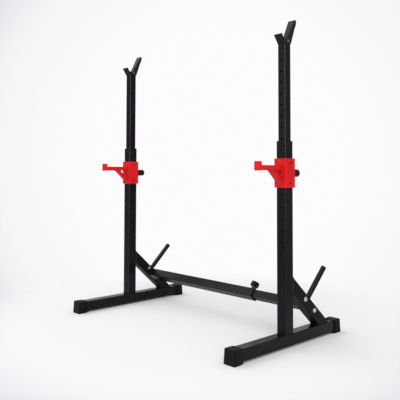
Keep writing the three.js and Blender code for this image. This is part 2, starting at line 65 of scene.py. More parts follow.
# Rubber feet
FOOT_LENGTH = 0.054
FOOT_TOP_WIDTH = 0.057
FOOT_BOTTOM_WIDTH = 0.061
FOOT_TOP_WALL = 0.0034
FOOT_END_WALL = 0.005
FOOT_CORNER = 0.0025
FOOT_LEAD = 0.014
FOOT_LIP = 0.0012
FOOT_END_SLOPE = 0.0035

# Guide collar
COLLAR_FLANGE = 0.003
COLLAR_SKIRT = 0.024

# Storage peg
PEG_SETBACK = 0.158
PEG_ANGLE = math.radians(44)
PEG_LENGTH = 0.183
PEG_RADIUS = 0.0125
PEG_WALL = 0.002
PEG_CAP = 0.005

# Post
POST_TUBE = 0.04
POST_WALL = 0.002
POST_CORNER = 0.003
POST_BOTTOM = 0.38
POST_TOP = 1.327
POST_HOLES_ABOVE = 8
POST_HOLES = 18

# Bar saddle: distances from the post's axis, heights above the post
SADDLE_WIDTH = 0.04
SADDLE_BASE_HALF = 0.022
SADDLE_SHOULDER = 0.005
CRADLE_RADIUS = 0.0225
CRADLE_FORWARD = 0.0135
CRADLE_HEIGHT = 0.042
CRADLE_FRONT_END = math.radians(10)
REAR_LEAN = math.radians(29.5)
REAR_TIP_HEIGHT = 0.117
REAR_TIP_THICKNESS = 0.009
LIP_LENGTH = 0.025
LIP_LEAN = math.radians(10)
LIP_PROUD = 0.004
FRONT_TIP_OUTER = (-0.0485, 0.039)
FRONT_TIP_INNER = (-0.038, 0.041)
SADDLE_BOLT_HEIGHT = 0.013
SADDLE_BOLT_SETBACK = 0.003
SADDLE_BOLT_RADIUS = 0.0025
SADDLE_HEAD_RADIUS = 0.0048
SADDLE_HEAD_THICKNESS = 0.0032
SADDLE_NUT_THICKNESS = 0.0045
SADDLE_EDGE = 0.0012
PRONG_EDGE_LOW = 0.013
PRONG_EDGE_HIGH = 0.002
PRONG_STEPS = 10
SADDLE_STATION_SHARES = (0.25, 0.5, 0.6, 0.7, 0.78, 0.85, 0.91)

# Spotter
SLEEVE_CENTRE = 0.756
SLEEVE_WIDTH = 0.066
SLEEVE_WALL = 0.003
SLEEVE_CORNER = 0.0035
SLEEVE_HEIGHT = 0.128
NUB_RADIUS = 0.005
NUB_OFFSET = 0.0445
NUB_PROUD = 0.0004
FRONT_PLUG_RADIUS = 0.003
FRONT_PLUG_OFFSET = 0.0535
ARM_WIDTH = 0.03
ARM_HEIGHT = 0.022
ARM_WALL = 0.002
ARM_CORNER = 0.0025
ARM_LENGTH = 0.138
ARM_ABOVE_CENTRE = 0.012
STOP_WIDTH = 0.031
STOP_THICKNESS = 0.015
STOP_HEIGHT = 0.04
STOP_BELOW_ARM = 0.0015
STOP_CORNER = 0.003
STOP_ROUND = 0.0014
STRUT_REACH = 0.0695
STRUT_DROP = 0.062
STRUT_THICKNESS = 0.014

# Pull pins: a boss is its radius and length, a knob also the height of its domed top
PIN_RADIUS = 0.004
PIN_CLEAR = 0.0006
PIN_HOLE = 0.0045
SPOTTER_BOSS = (0.01, 0.019)
SPOTTER_KNOB = (0.0175, 0.042, 0.009)
SPOTTER_TRAVEL = 0.012
CROSSBAR_BOSS = (0.0095, 0.02)
CROSSBAR_KNOB = (0.021, 0.023, 0.0025)
CROSSBAR_TRAVEL = 0.008
KNOB_FLOOR = 0.007
KNOB_RIM = 0.003
KNOB_SIDES = 72
KNOB_FLUTES = 8
FLUTE_SHARE = 0.07

# Crossbar and its plates
CROSSBAR_SETBACK = 0.149
OUTER_TUBE = 0.045
OUTER_WALL = 0.0015
OUTER_CORNER = 0.003
INNER_TUBE = 0.038
INNER_WALL = 0.002
INNER_CORNER = 0.0025
OUTER_TUBE_END = 0.262
CROSSBAR_PIN = 0.232
INNER_TUBE_LENGTH = 0.535
HOLES_TO_MIDDLE = 3
HOLES_TO_STAND = 4
BUSH_FLANGE = 0.004
BUSH_PROUD = 0.0015
BUSH_SKIRT = 0.022
PLATE_THICKNESS = 0.005
PLATE_LENGTH = 0.13
PLATE_WIDTH = 0.044
PLATE_CORNER = 0.008

# Bolts through the brace and the plate
BOLT_SPACING = 0.09
BOLT_SHIFT = 0.0065
BOLT_RISE = 0.0035
BOLT_RADIUS = 0.005
BOLT_HEAD_RADIUS = 0.0095
BOLT_HEAD_THICKNESS = 0.006
NUT_RADIUS = 0.0096
NUT_THICKNESS = 0.009
BOLT_TAIL = 0.003
WASHER_THICKNESS = 0.0014

# Fineness
CORNER_STEPS = 6
HOLE_SIDES = 24
ROUND_SIDES = 40
NUT_SIDES = 48
DOME_STEPS = 7
EDGE = 0.0004
CELL = 0.007
LEVEL_DIGITS = 6
SMOOTH_ANGLE = math.radians(50)

# Weld beads
BEAD_RADIUS = 0.0021
SMALL_BEAD = 0.0014
BEAD_STEP = 0.001
BEAD_SIDES = 8
RIPPLE_LENGTH = 0.0032
RIPPLE_SHARE = 0.14

# Colours: a surface's darkest and lightest patches
BLACK_PAINT = [(0.0035, 0.0035, 0.0036), (0.0065, 0.0065, 0.0067)]
# A lighter black for the saddle, standing for painted reflection of the floor and the lights
REFLECTION_LIT_PAINT = [(0.0075, 0.0075, 0.0077), (0.012, 0.012, 0.0123)]
GREY_PAINT = [(0.04, 0.04, 0.041), (0.07, 0.07, 0.072)]
RED_PAINT = [(0.58, 0.006, 0.008), (0.68, 0.009, 0.011)]
FOOT_BLACK = [(0.003, 0.003, 0.0031), (0.0065, 0.0065, 0.0067)]
KNOB_BLACK = [(0.003, 0.003, 0.0031), (0.006, 0.006, 0.0062)]
# The bush's near black is partly its own black and partly painted shade at the outer tube's mouth
BUSH_BLACK_AND_SHADE = [(0.0015, 0.0015, 0.0016), (0.003, 0.003, 0.0031)]
BRIGHT_ZINC = [(0.6, 0.61, 0.63), (0.74, 0.745, 0.76)]
# A darker zinc: on the lower brace nuts it is painted shade below the crossbar, elsewhere darker zinc
DIM_ZINC_AND_SHADE_COLOURS = [(0.2, 0.2, 0.21), (0.3, 0.3, 0.31)]
# Painted shade on the sloped mouths of the rear caps
MOUTH_SHADE_COLOUR = (0.0008, 0.0008, 0.0008)

# Patterns: waves per metre and detail; a grain also the height of its relief
MOTTLE = (9, 4)
SPECK = (420, 3)
GLOSS = (26, 5)
COARSE_PEEL = (260, 2)
FINE_PEEL = (900, 2)
DUST = (34, 5)
MOULD_GLOSS = (60, 4)
RUBBER_GRAIN = ((1500, 3), 0.00015)
PLASTIC_GRAIN = ((2200, 3), 0.00008)
CLOUD = (150, 4)
MARKS = (700, 4)
MARK_STRETCH = (1, 0.2, 0.2)

# How the patterns show: parts of their range, strengths, and heights of the relief
SPECK_SHARE = 0.45
PATTERN_SPAN = (0.3, 0.7)
MOTTLE_STOPS = (0.35, 0.65)
DUST_STOPS = (0.35, 0.68)
CORNER_SPAN = (0.3, 0.55)
# Painted shade on the rear caps' mouths: how far a face turns forwards and how much shade it takes,
# then its roughness
MOUTH_LEVELS = [(0.08, 0), (0.15, 1), (0.5, 1), (0.6, 0)]
MOUTH_ROUGHNESS = 1
PEEL_STRENGTH = 0.12
COARSE_PEEL_HEIGHT = 0.0003
FINE_PEEL_HEIGHT = 0.0001
GRAIN_STRENGTH = 0.35
MARK_STRENGTH = 0.2
MARK_HEIGHT = 0.0001

# Camera
CAMERA_PLACE = (2.13549, -2.00595, 0.75685)
CAMERA_YAW = math.radians(46.677)
CAMERA_PITCH = math.radians(2.285)
CAMERA_ROLL = math.radians(0.125)
CAMERA_LENS = 51.19
CAMERA_SENSOR = 36
CAMERA_SHIFT = -0.125

# Studio: brightness by the cosine of the angle from the brightest patch, darkest side first
STUDIO_LEVELS = [
    (-1, (0.4, 0.4, 0.4)),
    (0.5, (0.5, 0.5, 0.5)),
    (0.875, (0.7, 0.685, 0.72)),
    (0.94, (0.935, 0.925, 0.95)),
    (0.975, (0.985, 0.965, 0.99)),
]
POOL_RIGHT = 0.035
POOL_UP = -0.01
ROOM_LIGHT = 0.62
FLOOR_RADIUS = 1.6
FLOOR_CORE = 0.75
FLOOR_COLOUR = (0.9, 0.885, 0.91)

# Soft lights: azimuth, distance and height of the centre, width, height and power
LIGHTS = {
    "window": (math.radians(-45), 10, 3, 4.5, 4.8, 560),
    "fill": (math.radians(-120), 8, 4, 3.2, 8, 75),
    "ceiling": (math.radians(-162), 5.5, 6.5, 5, 5, 130),
}
LIGHT_AIM = Vector((0, 0, 0.7))
SKY_AZIMUTH = math.radians(-65)
SKY_ELEVATION = math.radians(52)
SKY_SPREAD = math.radians(40)
SKY_POWER = 0.5

# Tube sections: width, depth, wall and corner radius
FRAME_SECTION = (FRAME_TUBE, FRAME_TUBE, FRAME_WALL, FRAME_CORNER)
POST_SECTION = (POST_TUBE, POST_TUBE, POST_WALL, POST_CORNER)
SLEEVE_SECTION = (SLEEVE_WIDTH, SLEEVE_WIDTH, SLEEVE_WALL, SLEEVE_CORNER)
ARM_SECTION = (ARM_WIDTH, ARM_HEIGHT, ARM_WALL, ARM_CORNER)
STRUT_SECTION = (ARM_WIDTH, STRUT_THICKNESS, ARM_WALL, ARM_CORNER)
OUTER_SECTION = (OUTER_TUBE, OUTER_TUBE, OUTER_WALL, OUTER_CORNER)
INNER_SECTION = (INNER_TUBE, INNER_TUBE, INNER_WALL, INNER_CORNER)

# Values that follow
HALF_FRAME = FRAME_TUBE / 2
BASE_BOTTOM = FOOT_SOLE + GAP
BASE_TOP = BASE_BOTTOM + FRAME_TUBE
SLEEVE_HALF = SLEEVE_WIDTH / 2
PLATE_FACE = HALF_SPACING - HALF_FRAME - GAP - PLATE_THICKNESS
BRACE_RISE = HALF_FRAME / math.cos(BRACE_ANGLE)


def brace_axis(distance):
    """Height of the brace's centreline at a distance behind the upright's centre."""
    return BRACE_TOP - math.tan(BRACE_ANGLE) * (distance - HALF_FRAME) - BRACE_RISE


CROSSBAR_HEIGHT = brace_axis(CROSSBAR_SETBACK)


# Shader nodes


def node_tree(name):
    material = bpy.data.materials.new(name)
    material.use_nodes = True
    tree = material.node_tree
    return material, tree, tree.nodes["Principled BSDF"]


def feed(tree, node, inputs):
    """Gives each named input a value, or links it to another node's output."""
    for key, value in inputs.items():
        if isinstance(value, bpy.types.NodeSocket):
            tree.links.new(value, node.inputs[key])
        else:
            node.inputs[key].default_value = value


def add(tree, kind, inputs=None, **settings):
    node = tree.nodes.new(f"ShaderNode{kind}")
    for key, value in settings.items():
        setattr(node, key, value)
    feed(tree, node, inputs or {})
    return node


def noise(tree, pattern, stretch=(1, 1, 1)):
    """A pattern in the piece's own coordinates."""
    waves, detail = pattern
    place = add(tree, "TexCoord").outputs["Object"]
    stretched = add(tree, "Mapping", {"Vector": place, "Scale": stretch}).outputs["Vector"]
    texture = add(tree, "TexNoise", {"Vector": stretched, "Scale": waves, "Detail": detail})
    return texture.outputs["Fac"]


def ramp(tree, value, stops, interpolation="LINEAR"):
    """Colours by a value; each stop is its place and its colour."""
    node = add(tree, "ValToRGB", {"Fac": value})
    node.color_ramp.interpolation = interpolation
    elements = node.color_ramp.elements
    for index, (place, colour) in enumerate(stops):
        element = elements[index] if index < len(elements) else elements.new(place)
        element.position = place
        element.color = (*colour, 1)
    return node.outputs["Color"]


def mapped(tree, value, source, target, way="LINEAR"):
    """Carries a value over from one span to another."""
    names = ("From Min", "From Max", "To Min", "To Max")
    spans = dict(zip(names, (*source, *target)))
    node = add(tree, "MapRange", {"Value": value, **spans}, interpolation_type=way)
    return node.outputs["Result"]


def bump(tree, height, strength, distance, under=None):
    inputs = {"Height": height, "Strength": strength, "Distance": distance}
    if under:
        inputs["Normal"] = under
    return add(tree, "Bump", inputs).outputs["Normal"]


def dot(tree, vector, direction):
    node = add(tree, "VectorMath", {0: vector, 1: direction}, operation="DOT_PRODUCT")
    return node.outputs["Value"]


def reckoned(tree, operation, *values, **settings):
    node = add(tree, "Math", dict(enumerate(values)), operation=operation, **settings)
    return node.outputs["Value"]


# Materials


def corner_gloss(tree, weight):
    """Powder draws thin over a tube's upright corners, which end up glossier than its sides."""
    normal = add(tree, "TexCoord").outputs["Normal"]
    size = add(tree, "VectorMath", {0: normal}, operation="ABSOLUTE").outputs["Vector"]
    parts = add(tree, "SeparateXYZ", {"Vector": size}).outputs
    lesser = reckoned(tree, "MINIMUM", parts["X"], parts["Y"])
    return mapped(tree, lesser, CORNER_SPAN, (0, weight))


def coat(name, colours, roughness, specular, corner_weight=0):
    """Powder coat: slight mottling, uneven gloss and the fine orange peel of the cured powder."""
    material, tree, shader = node_tree(name)
    broad = reckoned(tree, "MULTIPLY", noise(tree, MOTTLE), 1 - SPECK_SHARE)
    mottle = reckoned(tree, "MULTIPLY_ADD", noise(tree, SPECK), SPECK_SHARE, broad)
    coarse = bump(tree, noise(tree, COARSE_PEEL), PEEL_STRENGTH, COARSE_PEEL_HEIGHT)
    surface = {
        "Base Color": ramp(tree, mottle, zip(MOTTLE_STOPS, colours)),
        "Roughness": mapped(tree, noise(tree, GLOSS), PATTERN_SPAN, roughness),
        "Normal": bump(tree, noise(tree, FINE_PEEL), PEEL_STRENGTH, FINE_PEEL_HEIGHT, coarse),
        "Specular IOR Level": specular,
        "Coat Roughness": sum(roughness) / len(roughness),
    }
    if corner_weight:
        surface["Coat Weight"] = corner_gloss(tree, corner_weight)
    feed(tree, shader, surface)
    return material


def moulded(name, colours, grain, height, roughness, specular):
    """Moulded rubber or plastic: dusty mottling and a sparked grain."""
    material, tree, shader = node_tree(name)
    surface = {
        "Base Color": ramp(tree, noise(tree, DUST), zip(DUST_STOPS, colours)),
        "Roughness": mapped(tree, noise(tree, MOULD_GLOSS), PATTERN_SPAN, roughness),
        "Normal": bump(tree, noise(tree, grain), GRAIN_STRENGTH, height),
        "Specular IOR Level": specular,
    }
    feed(tree, shader, surface)
    return material


def paint_mouth_shade(material):
    """Paints shade on the rear caps' sloped mouths, which turn a little forwards, and makes them fully
    rough.
    """
    tree = material.node_tree
    shader = tree.nodes["Principled BSDF"]
    forwards = dot(tree, add(tree, "TexCoord").outputs["Normal"], (0, -1, 0))
    mouth = ramp(tree, forwards, [(place, [level] * 3) for place, level in MOUTH_LEVELS])
    painted_shade = {"Base Color": ("RGBA", (*MOUTH_SHADE_COLOUR, 1)), "Roughness": ("FLOAT", MOUTH_ROUGHNESS)}
    for name, (kind, value) in painted_shade.items():
        usual = shader.inputs[name].links[0].from_socket
        mix = add(tree, "Mix", {"Factor": mouth, "A": usual, "B": value}, data_type=kind)
        feed(tree, shader, {name: mix.outputs["Result"]})


def plated(name, colours, roughness):
    """Zinc plate: cloudy passivation over fine turning marks."""
    material, tree, shader = node_tree(name)
    marks = noise(tree, MARKS, MARK_STRETCH)
    surface = {
        "Base Color": ramp(tree, noise(tree, CLOUD), zip(MOTTLE_STOPS, colours)),
        "Roughness": mapped(tree, marks, PATTERN_SPAN, roughness),
        "Normal": bump(tree, marks, MARK_STRENGTH, MARK_HEIGHT),
        "Metallic": 1,
    }
    feed(tree, shader, surface)
    return material


# Material slots and their usual finishes; the pairs are the least and the greatest roughness
BLACK = "black_powder_coat"
RED = "red_powder_coat"
RUBBER = "foot_rubber"
PLASTIC = "black_plastic"
ZINC = "zinc_plate"
FINISHES = {
    BLACK: coat("black powder coat", BLACK_PAINT, (0.22, 0.3), specular=0.12, corner_weight=0.76),
    RED: coat("red powder coat", RED_PAINT, (0.34, 0.46), specular=0.14, corner_weight=0.12),
    RUBBER: moulded("foot rubber", FOOT_BLACK, *RUBBER_GRAIN, (0.5, 0.7), specular=0.12),
    PLASTIC: moulded("black plastic", KNOB_BLACK, *PLASTIC_GRAIN, (0.3, 0.44), specular=0.18),
    ZINC: plated("zinc plate", BRIGHT_ZINC, (0.2, 0.36)),
}
# Painted shade on the mouths of the rear caps
paint_mouth_shade(FINISHES[RUBBER])

# Looks that some pieces have instead
SATIN = coat("satin black powder coat", BLACK_PAINT, (0.4, 0.5), specular=0.09, corner_weight=0.22)
# The saddle's lighter black is painted reflection of the floor and the lights
REFLECTION_LIT_COAT = coat("black powder coat with painted reflection", REFLECTION_LIT_PAINT, (0.3, 0.4), specular=0.15)
GREY = coat("thin grey powder coat", GREY_PAINT, (0.3, 0.4), specular=0.12)
# Partly the bush's own matte black, partly painted shade at the outer tube's mouth
MATTE_AND_SHADE = moulded("matte black plastic with painted shade", BUSH_BLACK_AND_SHADE, *PLASTIC_GRAIN, (0.7, 0.85), specular=0.05)
# Darker zinc; on the lower brace nuts it is painted shade below the crossbar
DIM_ZINC_AND_SHADE = plated("dim zinc plate and painted shade", DIM_ZINC_AND_SHADE_COLOURS, (0.4, 0.55))


# Pieces


class Shell:
    """Points and faces of one piece, gathered ring by ring."""

    def __init__(self):
        self.points = []
        self.faces = []

    def ring(self, points):
        start = len(self.points)
        self.points.extend(points)
        return list(range(start, len(self.points)))

    def band(self, first, second, skip=()):
        for index in range(len(first)):
            if index in skip:
                continue
            after = (index + 1) % len(first)
            self.faces.append((first[index], first[after], second[after], second[index]))


def loft(rings, hollow=False):
    """Bands between the rings. A hollow one's last ring meets its first; others end in lids."""
    shell = Shell()
    numbered = [shell.ring(points) for points in rings]
    for first, second in zip(numbered, numbered[1:]):
        shell.band(first, second)
    if hollow:
        shell.band(numbered[-1], numbered[0])
    else:
        shell.faces += [tuple(numbered[0]), tuple(numbered[-1])]
    return shell


def joined(shells):
    whole = Shell()
    for shell in shells:
        start = len(whole.points)
        whole.points += shell.points
        whole.faces += [tuple(start + index for index in face) for face in shell.faces]
    return whole


def added(name, data):
    thing = bpy.data.objects.new(name, data)
    bpy.context.scene.collection.objects.link(thing)
    return thing


def made(name, shell, body, slot, *nodes, look=None):
    """Turns a shell into a piece that rides on a body and stands for the named nodes.

    A look of its own takes the place of its slot's usual finish.
    """
    mesh = bpy.data.meshes.new(name)
    mesh.from_pydata([tuple(point) for point in shell.points], [], shell.faces)
    work = bmesh.new()
    work.from_mesh(mesh)
    bmesh.ops.recalc_face_normals(work, faces=work.faces)
    work.to_mesh(mesh)
    work.free()
    mesh.polygons.foreach_set("use_smooth", [True] * len(mesh.polygons))
    mesh.set_sharp_from_angle(angle=SMOOTH_ANGLE)
    mesh.materials.append(look or FINISHES[slot])
    piece = added(name, mesh)
    weighted = piece.modifiers.new("even shading", "WEIGHTED_NORMAL")
    weighted.keep_sharp = True
    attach(piece, body)
    if nodes:
        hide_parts(*nodes)


def maker(word, body):
    """Makes the pieces of one body, whose names all start with the same word."""

    def make(name, shell, slot, *nodes, look=None):
        nodes = [f"{word}_{node}" for node in nodes]
        made(f"{word}_{name}", shell, f"{word}_{body}", slot, *nodes, look=look)

    return make


# Outlines and places


def at(x, y, z):
    return Matrix.Translation((x, y, z))


def turned(angle, axis):
    return Matrix.Rotation(angle, 4, axis)


def facing_rear(place):
    """W points to the rear."""
    return place @ turned(-math.pi / 2, "X")


def facing_front(place):
    """W points to the front."""
    return place @ turned(math.pi / 2, "X")


def facing_out(place, side, reach, y, z):
    """W points away from the middle of a tube, on the side given."""
    return place @ at(side * reach, y, z) @ turned(side * math.pi / 2, "Y")


def circle(radius, sides=ROUND_SIDES):
    turns = [2 * math.pi * index / sides for index in range(sides)]
    return [(radius * math.cos(turn), radius * math.sin(turn)) for turn in turns]


def rounded_rectangle(width, depth, radius):
    """Points from the +U +V corner round by +V; a flat side follows each corner's last point."""
    points = []
    for corner in range(4):
        side_u = 1 if corner in (0, 3) else -1
        side_v = 1 if corner < 2 else -1
        for step in range(CORNER_STEPS + 1):
            angle = math.pi / 2 * (corner + step / CORNER_STEPS)
            u = side_u * (width / 2 - radius) + radius * math.cos(angle)
            v = side_v * (depth / 2 - radius) + radius * math.sin(angle)
            points.append((u, v))
    return points


def outline(section):
    width, depth, _, corner = section
    return rounded_rectangle(width, depth, corner)


def rounded_polygon(corners, radii):
    """A polygon's outline with each corner rounded by its own radius."""
    points = []
    for index, (corner, radius) in enumerate(zip(corners, radii)):
        here = Vector(corner)
        if radius == 0:
            points.append(corner)
            continue
        back = (Vector(corners[index - 1]) - here).normalized()
        ahead = (Vector(corners[(index + 1) % len(corners)]) - here).normalized()
        half = back.angle(ahead) / 2
        centre = here + (back + ahead).normalized() * radius / math.sin(half)
        first = here + back * radius / math.tan(half) - centre
        last = here + ahead * radius / math.tan(half) - centre
        begin = math.atan2(first.y, first.x)
        sweep = (math.atan2(last.y, last.x) - begin + math.pi) % (2 * math.pi) - math.pi
        for step in range(CORNER_STEPS + 1):
            angle = begin + sweep * step / CORNER_STEPS
            reach = Vector((math.cos(angle), math.sin(angle))) * radius
            points.append(tuple(centre + reach))
    return points


def rounding(radius):
    """Insets and depths along a rounded edge, from the side over to the end face."""
    turns = [math.pi / 2 * step / CORNER_STEPS for step in range(CORNER_STEPS + 1)]
    return [(radius * (1 - math.cos(turn)), radius * (1 - math.sin(turn))) for turn in turns]


def raised(level, amount):
    if callable(level):
        return lambda u, v: level(u, v) + amount
    return level + amount


def lifted(section, level, place):
    """A section's points at a level along W, which may depend on U and V."""
    height = level if callable(level) else lambda u, v: level
    return [place @ Vector((u, v, height(u, v))) for u, v in section]


# Shapes

# Sides of a tube by the way that they face: +V, -U, -V and +U
OUTWARD = [Vector((0, 1)), Vector((-1, 0)), Vector((0, -1)), Vector((1, 0))]
V_SIDES = (0, 2)
U_SIDES = (1, 3)


def through(sides, levels, radius):
    """A hole in each of the sides at each level."""
    return [(side, level, radius) for level in levels for side in sides]


def levels_down(top, count):
    return [top - index * HOLE_PITCH for index in range(count)]


def hole_ring(shell, place, side, reach, along, radius):
    """A ring of points round a hole in a flat side, at a distance from the tube's axis."""
    outward = OUTWARD[side]
    tangent = Vector((-outward.y, outward.x))
    points = []
    for index in range(HOLE_SIDES):
        angle = 2 * math.pi * index / HOLE_SIDES - 3 * math.pi / 4
        spot = outward * reach + tangent * radius * math.cos(angle)
        points.append(place @ Vector((spot.x, spot.y, along + radius * math.sin(angle))))
    return shell.ring(points)


def hole_frame(shell, corners, ring):
    """Joins a hole's ring to the four corners of the cell round it."""
    quarter = HOLE_SIDES // 4
    for index in range(4):
        arc = [ring[(index * quarter + step) % HOLE_SIDES] for step in range(quarter + 1)]
        shell.faces.append((corners[index], corners[(index + 1) % 4], *reversed(arc)))


def tube(place, section, start, end, holes=()):
    """A rectangular tube along W. Each hole is its side, its level and its radius."""
    width, depth, wall, corner = section
    inner_corner = max(corner - wall, wall / 2)
    hollow = 2 * (wall - EDGE)
    outer = rounded_rectangle(width, depth, corner)
    inner = rounded_rectangle(width - 2 * wall, depth - 2 * wall, inner_corner)
    outer_lip = rounded_rectangle(width - 2 * EDGE, depth - 2 * EDGE, corner - EDGE)
    inner_lip = rounded_rectangle(width - hollow, depth - hollow, inner_corner + EDGE)
    rims = {round(hole[1] + way * CELL, LEVEL_DIGITS) for hole in holes for way in (-1, 1)}
    levels = [raised(start, EDGE), *sorted(rims), raised(end, -EDGE)]
    shell = Shell()
    outsides = [shell.ring(lifted(outer, level, place)) for level in levels]
    insides = [shell.ring(lifted(inner, level, place)) for level in levels]
    for index in range(len(levels) - 1):
        skip = []
        for side, along, radius in holes:
            if levels[index] != round(along - CELL, LEVEL_DIGITS):
                continue
            first = (side + 1) * (CORNER_STEPS + 1) - 1
            second = (first + 1) % len(outer)
            skip.append(first)
            reach = (depth if side in V_SIDES else width) / 2
            steps = [(reach, radius + EDGE), (reach - EDGE, radius)]
            steps += [(reach - wall + EDGE, radius), (reach - wall, radius + EDGE)]
            rings = [hole_ring(shell, place, side, far, along, size) for far, size in steps]
            for one, two in zip(rings, rings[1:]):
                shell.band(one, two)
            for stack, ring in ((outsides, rings[0]), (insides, rings[-1])):
                low, high = stack[index], stack[index + 1]
                hole_frame(shell, (low[first], low[second], high[second], high[first]), ring)
        shell.band(outsides[index], outsides[index + 1], skip)
        shell.band(insides[index], insides[index + 1], skip)
    for level, index in ((start, 0), (end, -1)):
        lip_out = shell.ring(lifted(outer_lip, level, place))
        lip_in = shell.ring(lifted(inner_lip, level, place))
        shell.band(outsides[index], lip_out)
        shell.band(lip_out, lip_in)
        shell.band(lip_in, insides[index])
    return shell


def lathe(place, profile, sides=ROUND_SIDES, hollow=False):
    """Rings of the profile's radii and levels; a radius may depend on the angle."""
    rings = []
    for radius, level in profile:
        ring = []
        for u, v in circle(1, sides):
            reach = radius(math.atan2(v, u)) if callable(radius) else radius
            ring.append(place @ Vector((u * reach, v * reach, level)))
        rings.append(ring)
    return loft(rings, hollow)


def dome(radius, base, height):
    turns = [math.pi / 2 * step / DOME_STEPS for step in range(DOME_STEPS)]
    return [(radius * math.cos(turn), base + height * math.sin(turn)) for turn in turns]


def slab(place, width, height, corner, thickness, edge):
    """A rounded rectangle along W from zero, its edges rounded."""
    shape = rounding(edge)[::-1] + [(inset, thickness - near) for inset, near in rounding(edge)]
    rings = []
    for inset, level in shape:
        size = (width - 2 * inset, height - 2 * inset, max(corner - inset, EDGE))
        rings.append(lifted(rounded_rectangle(*size), level, place))
    return loft(rings)


def evenly_spaced(path):
    """Points a bead's step apart round a closed path."""
    closed = path + [path[0]]
    lengths = [(two - one).length for one, two in zip(closed, closed[1:])]
    count = round(sum(lengths) / BEAD_STEP)
    pitch = sum(lengths) / count
    points = []
    index = 0
    walked = 0
    for step in range(count):
        while walked + lengths[index] < step * pitch:
            walked += lengths[index]
            index += 1
        share = (step * pitch - walked) / lengths[index]
        points.append(closed[index].lerp(closed[index + 1], share))
    return points


def bead(path, radius=BEAD_RADIUS):
    """A rippled weld bead round a closed path."""
    points = evenly_spaced(path)
    centre = sum(points, Vector()) / len(points)
    rings = []
    for index, point in enumerate(points):
        along = (points[(index + 1) % len(points)] - points[index - 1]).normalized()
        away = point - centre
        away = (away - along * away.dot(along)).normalized()
        across = along.cross(away)
        phase = 2 * math.pi * index * BEAD_STEP / RIPPLE_LENGTH
        size = radius * (1 + RIPPLE_SHARE * math.sin(phase))
        rings.append([point + away * u + across * v for u, v in circle(size, BEAD_SIDES)])
    return loft(rings, hollow=True)


def bolt(place, radius, thickness, shank, tail):
    """A domed head on a washer, rising along W from zero, and the shank's end below."""
    washer = radius + WASHER_THICKNESS
    profile = [(shank - EDGE, tail), (shank, tail + EDGE), (shank, 0)]
    profile += [(washer - EDGE, 0), (washer, EDGE), (washer, WASHER_THICKNESS - EDGE)]
    profile += [(washer - EDGE, WASHER_THICKNESS), (radius, WASHER_THICKNESS)]
    profile += dome(radius, WASHER_THICKNESS + EDGE, thickness - WASHER_THICKNESS - EDGE)
    return lathe(place, profile)


def nut(place, radius, thickness, bore):
    """A chamfered hexagon nut along W from zero."""
    half = math.pi / 6
    apothem = radius * math.cos(half)
    chamfer = thickness / 8
    mouth = bore + chamfer / 2
    flats = lambda turn: min(apothem / math.cos(turn % (2 * half) - half), radius)
    profile = [(bore, chamfer), (mouth, 0), (apothem, 0), (flats, chamfer / 2)]
    profile += [(flats, thickness - chamfer), (apothem, thickness)]
    profile += [(mouth, thickness), (bore, thickness - chamfer)]
    return lathe(place, profile, NUT_SIDES, hollow=True)


def collar(place, section, inner_width, flange, skirt, proud=0):
    """A plastic guide: a flange with a rounded rim over a skirt that goes into the tube's mouth."""
    width, _, wall, corner = section
    inside = inner_width + 2 * GAP
    skirt_width = width - 2 * (wall + GAP)
    width += 2 * proud
    rim = flange / 3
    inner_corner = corner / 2
    shape = [
        (skirt_width, inner_corner, -skirt),
        (skirt_width, inner_corner, 0),
        (width - EDGE, corner, 0),
        (width, corner, EDGE),
        (width, corner, flange - rim),
        (width - rim / 2, corner, flange - rim / 3),
        (width - 2 * rim, corner, flange),
        (inside + 2 * rim, inner_corner, flange),
        (inside, inner_corner, flange - rim),
        (inside, inner_corner, -skirt),
    ]
    rings = []
    for size, radius, level in shape:
        rings.append(lifted(rounded_rectangle(size, size, radius), level, place))
    return loft(rings, hollow=True)


# Stand


def stand_place(side):
    return at(side * HALF_SPACING, -UPRIGHT_FORWARD, 0)


def foot_section(width_low, width_high, low, high, corner):
    lower = [(-width_low / 2, low), (width_low / 2, low)]
    upper = [(width_high / 2, high), (-width_high / 2, high)]
    return rounded_polygon(lower + upper, [corner] * 4)


def foot_cap(place, end):
    """A rubber cap with a flared sole; W runs from the mouth to the closed end."""
    pocket = FRAME_TUBE + 2 * GAP
    mouth = pocket + FOOT_LIP
    lip = mouth + FOOT_LIP
    low = BASE_BOTTOM + HALF_FRAME - pocket / 2
    high = low + pocket
    height = BASE_TOP + FOOT_TOP_WALL
    lead_low = FOOT_BOTTOM_WIDTH - FOOT_LIP
    lead_high = FOOT_TOP_WIDTH - FOOT_LIP
    shape = [
        (pocket, pocket, low, high, FRAME_CORNER, FOOT_LENGTH - FOOT_END_WALL),
        (pocket, pocket, low, high, FRAME_CORNER, FOOT_LIP),
        (mouth, mouth, low - FOOT_LIP / 2, high + FOOT_LIP / 2, FRAME_CORNER, 0),
        (lip + FOOT_LIP, lip, 0, high + 2 * FOOT_LIP, FOOT_CORNER, 0),
        (lead_low, lead_high, 0, height - FOOT_LIP / 2, FOOT_CORNER, FOOT_LEAD),
        (FOOT_BOTTOM_WIDTH, FOOT_TOP_WIDTH, 0, height, FOOT_CORNER, FOOT_LEAD + FOOT_CORNER),
    ]
    for inset, near in rounding(FOOT_CORNER):
        widths = (FOOT_BOTTOM_WIDTH - 2 * inset, FOOT_TOP_WIDTH - 2 * inset)
        level = sloped_end(FOOT_LENGTH - near, height)
        shape.append((*widths, inset / 2, height - inset, FOOT_CORNER, level))
    place = place @ at(0, UPRIGHT_FORWARD + end * (FOOT_SPAN / 2 - FOOT_LENGTH), 0)
    if end > 0:
        place = place @ turned(math.pi, "Z")
    return loft([lifted(foot_section(*size), level, facing_front(place)) for *size, level in shape])


def sloped_end(level, height):
    """The foot's closed end leans back towards its top."""
    return lambda u, v: level - FOOT_END_SLOPE * v / height


